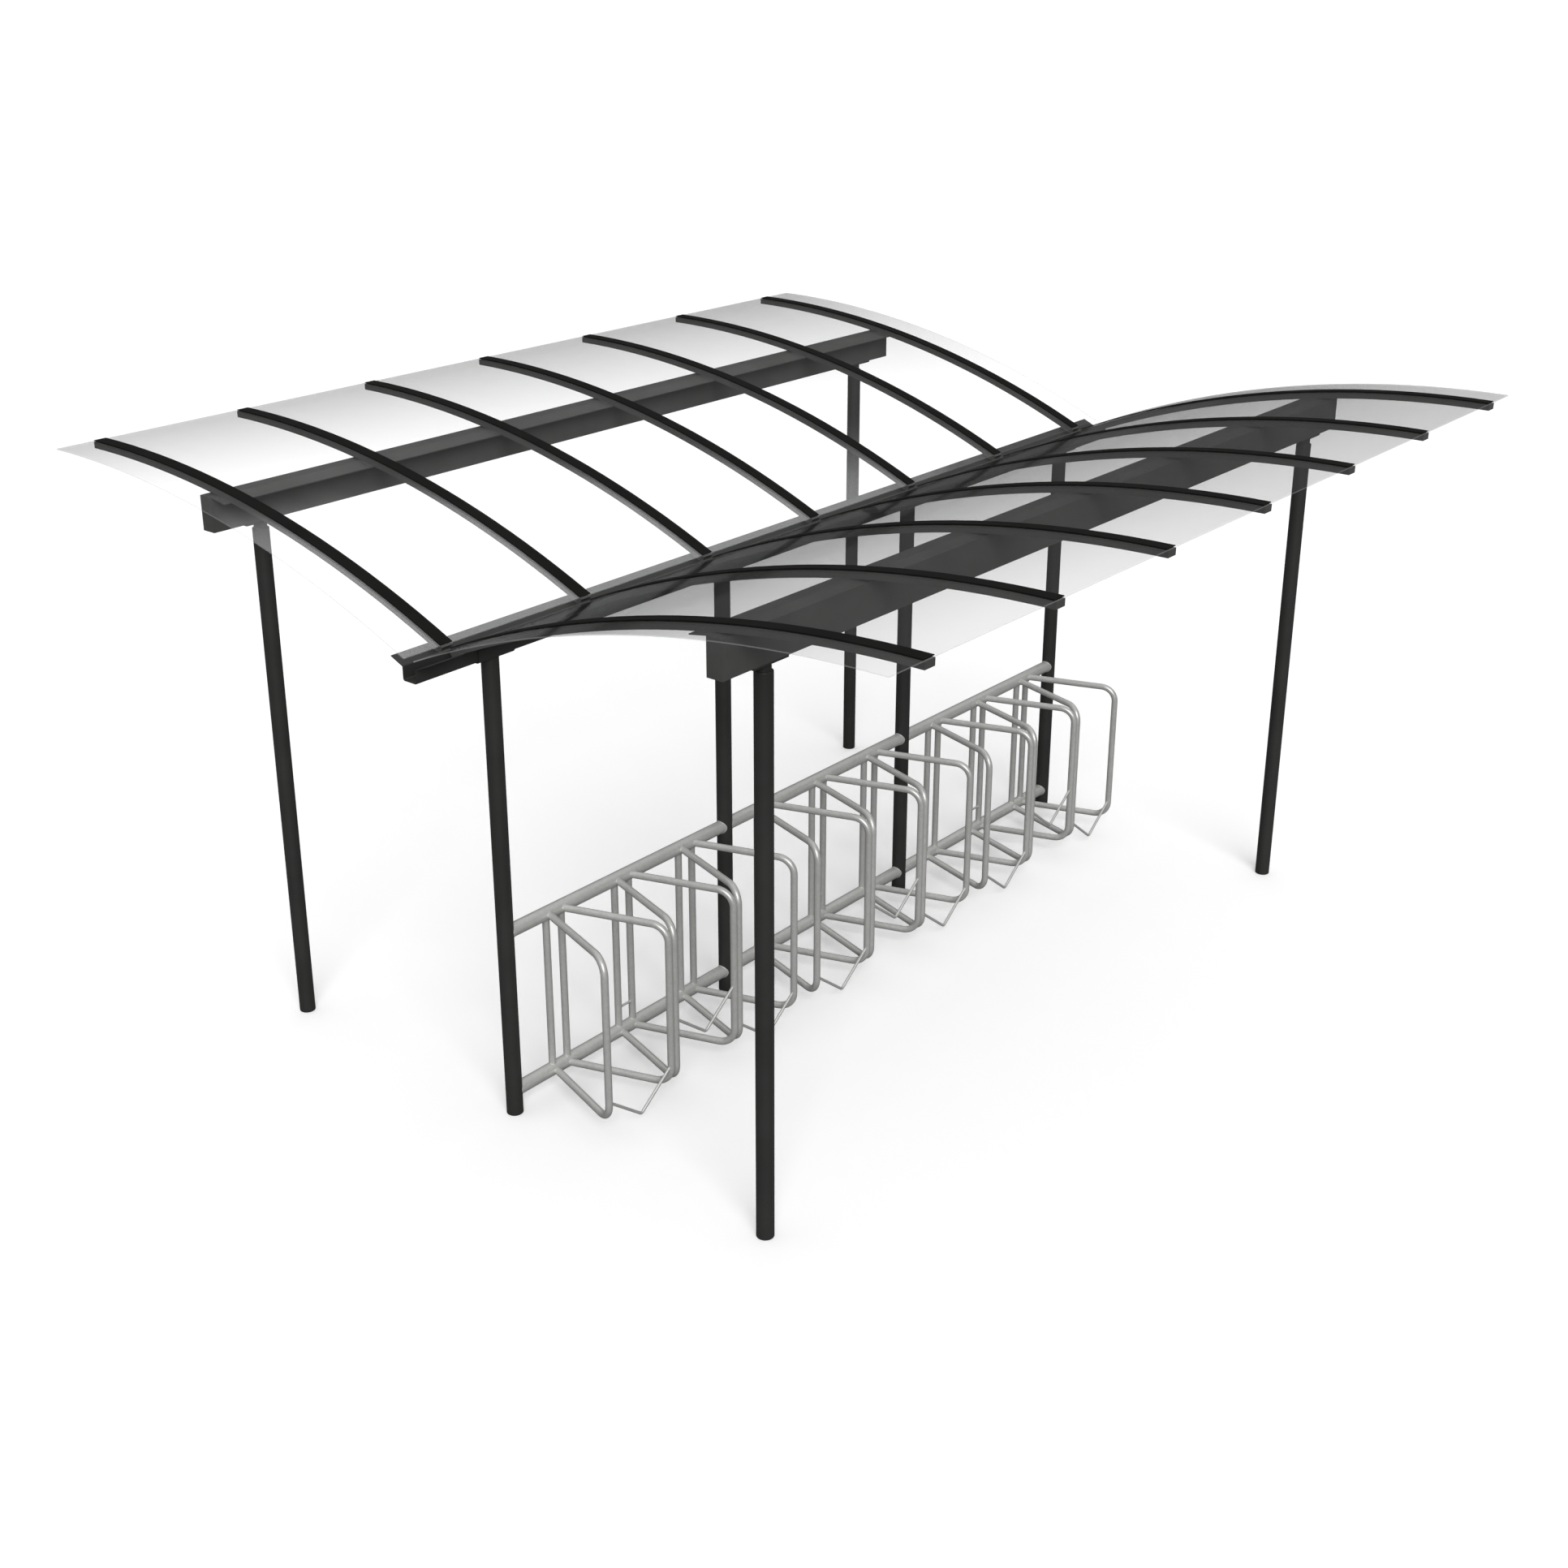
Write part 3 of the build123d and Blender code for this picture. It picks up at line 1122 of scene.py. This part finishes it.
def light_studio(scene, studio):
    """Soft light overhead and a soft lamp in front, with a plain white background."""
    world = bpy.data.worlds.new("studio")
    scene.world = world
    finish = Finish(world)
    direction = finish.node("ShaderNodeTexCoord", output="Generated")
    height = finish.node("ShaderNodeSeparateXYZ", inputs={0: direction}, output=2)
    back = tuple(Vector(studio.back_direction).normalized())
    settings = {"operation": "DOT_PRODUCT"}
    behind = finish.node("ShaderNodeVectorMath", settings, {0: direction, 1: back}, "Value")
    side = studio.front_share + (1.0 - studio.front_share) * behind.ramp(*BACK_LIGHT_EDGE)
    glow = studio.horizon + studio.overhead * height.ramp(*OVERHEAD_EDGE) * side
    light = finish.node("ShaderNodeBackground", inputs={"Color": grey(1.0), "Strength": glow})
    white = finish.node("ShaderNodeBackground", inputs={"Color": grey(1.0), "Strength": 1.0})
    seen = seen_share(finish, studio.reflected_white)
    finish.surface(finish.node("ShaderNodeMixShader", inputs={0: seen, 1: light, 2: white}))
    data = bpy.data.lights.new("studio_key", "SUN")
    data.energy = studio.key_strength
    data.angle = studio.key_spread
    lamp = bpy.data.objects.new("studio_key", data)
    lamp.rotation_euler = Vector(studio.key_direction).to_track_quat("Z", "Y").to_euler()
    scene.collection.objects.link(lamp)


def place_camera(scene, studio):
    """Camera in front, to the right and above, looking down at the shelter."""
    data = bpy.data.cameras.new("studio_camera")
    data.lens = studio.lens
    data.sensor_width = SENSOR_WIDTH
    data.shift_x, data.shift_y = VIEW_SHIFT
    data.clip_end = VIEW_REACH
    camera = bpy.data.objects.new("studio_camera", data)
    camera.location = studio.camera_place
    camera.rotation_euler = (pi / 2 - studio.camera_tilt, 0.0, studio.camera_heading)
    scene.collection.objects.link(camera)
    scene.camera = camera


class SHELTER_PT_sidebar(bpy.types.Panel):
    """Sizes and colours of the shelter, and the operators that apply them"""

    bl_idname = "SHELTER_PT_sidebar"
    bl_label = "Bicycle Shelter"
    bl_space_type = "VIEW_3D"
    bl_region_type = "UI"
    bl_category = "Shelter"

    def draw(self, context):
        layout = self.layout
        for holder in GROUPS:
            group = getattr(context.scene, holder)
            box = layout.box()
            for name in group.__annotations__:
                box.prop(group, name)
        for operator in STEPS:
            layout.operator(operator.bl_idname)


GROUPS = {
    "shelter_coat": ShelterCoat,
    "shelter_sheet": ShelterSheet,
    "shelter_rack": ShelterRack,
    "shelter_studio": ShelterStudio,
}
STEPS = (
    SHELTER_OT_paint_frame,
    SHELTER_OT_paint_strips,
    SHELTER_OT_clear_sheets,
    SHELTER_OT_galvanise_racks,
    SHELTER_OT_weld_racks,
    SHELTER_OT_weld_frame,
    SHELTER_OT_set_stage,
)


def register():
    for group in GROUPS.values():
        bpy.utils.register_class(group)
    for name, group in GROUPS.items():
        setattr(bpy.types.Scene, name, PointerProperty(type=group))
    for step in STEPS:
        bpy.utils.register_class(step)
    bpy.utils.register_class(SHELTER_PT_sidebar)


def unregister():
    bpy.utils.unregister_class(SHELTER_PT_sidebar)
    for step in reversed(STEPS):
        bpy.utils.unregister_class(step)
    for name in GROUPS:
        delattr(bpy.types.Scene, name)
    for group in reversed(GROUPS.values()):
        bpy.utils.unregister_class(group)


def main():
    register()
    bpy.ops.shelter.paint_frame()
    bpy.ops.shelter.paint_strips()
    bpy.ops.shelter.clear_sheets()
    bpy.ops.shelter.galvanise_racks()
    bpy.ops.shelter.weld_racks()
    bpy.ops.shelter.weld_frame()
    bpy.ops.shelter.set_stage()


if __name__ == "__main__":
    main()
